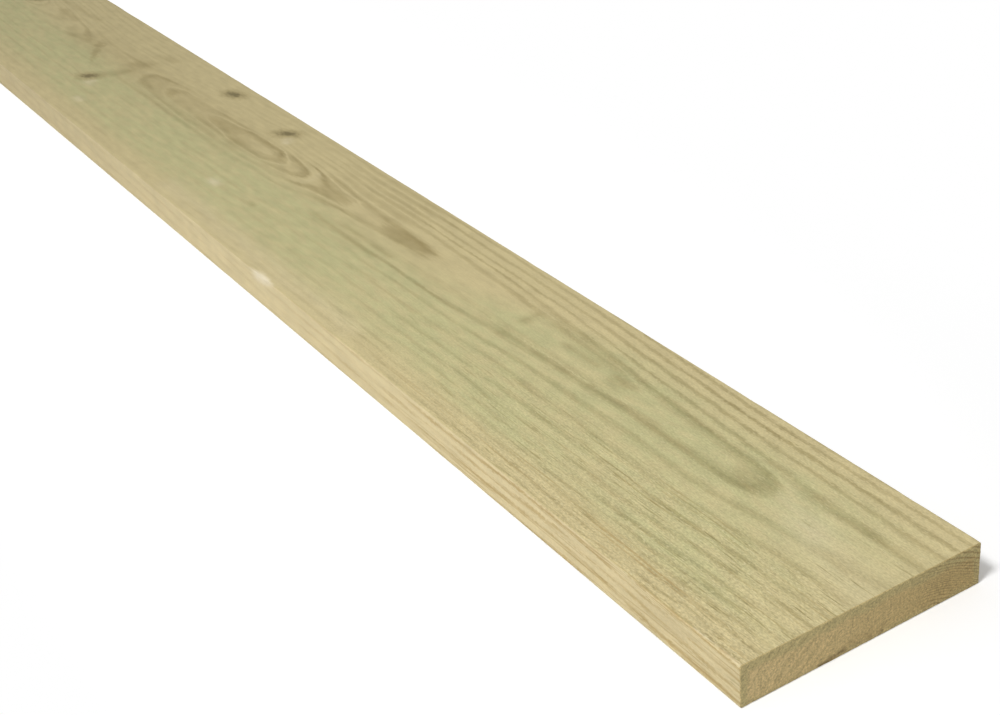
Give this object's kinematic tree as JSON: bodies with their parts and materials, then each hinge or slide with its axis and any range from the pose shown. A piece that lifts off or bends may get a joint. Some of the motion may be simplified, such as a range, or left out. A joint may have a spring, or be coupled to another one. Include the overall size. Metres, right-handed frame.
{
  "type": "cladding board",
  "caption": "Plain square-edged cladding board of sawn, green-treated softwood with eased long edges and square-cut ends, for facing walls, sheds and fences.",
  "frame": {"origin": "middle of the back face, which the board lies on", "axes": "+X along the length, +Y across the width, +Z out of the weather face"},
  "size_m": [2.4, 0.15, 0.025],
  "materials": {
    "treated_pine": "fine-sawn, pressure-treated, matt"
  },
  "bodies": {
    "root": {"cladding_board": "treated_pine"}
  },
  "joints": []
}
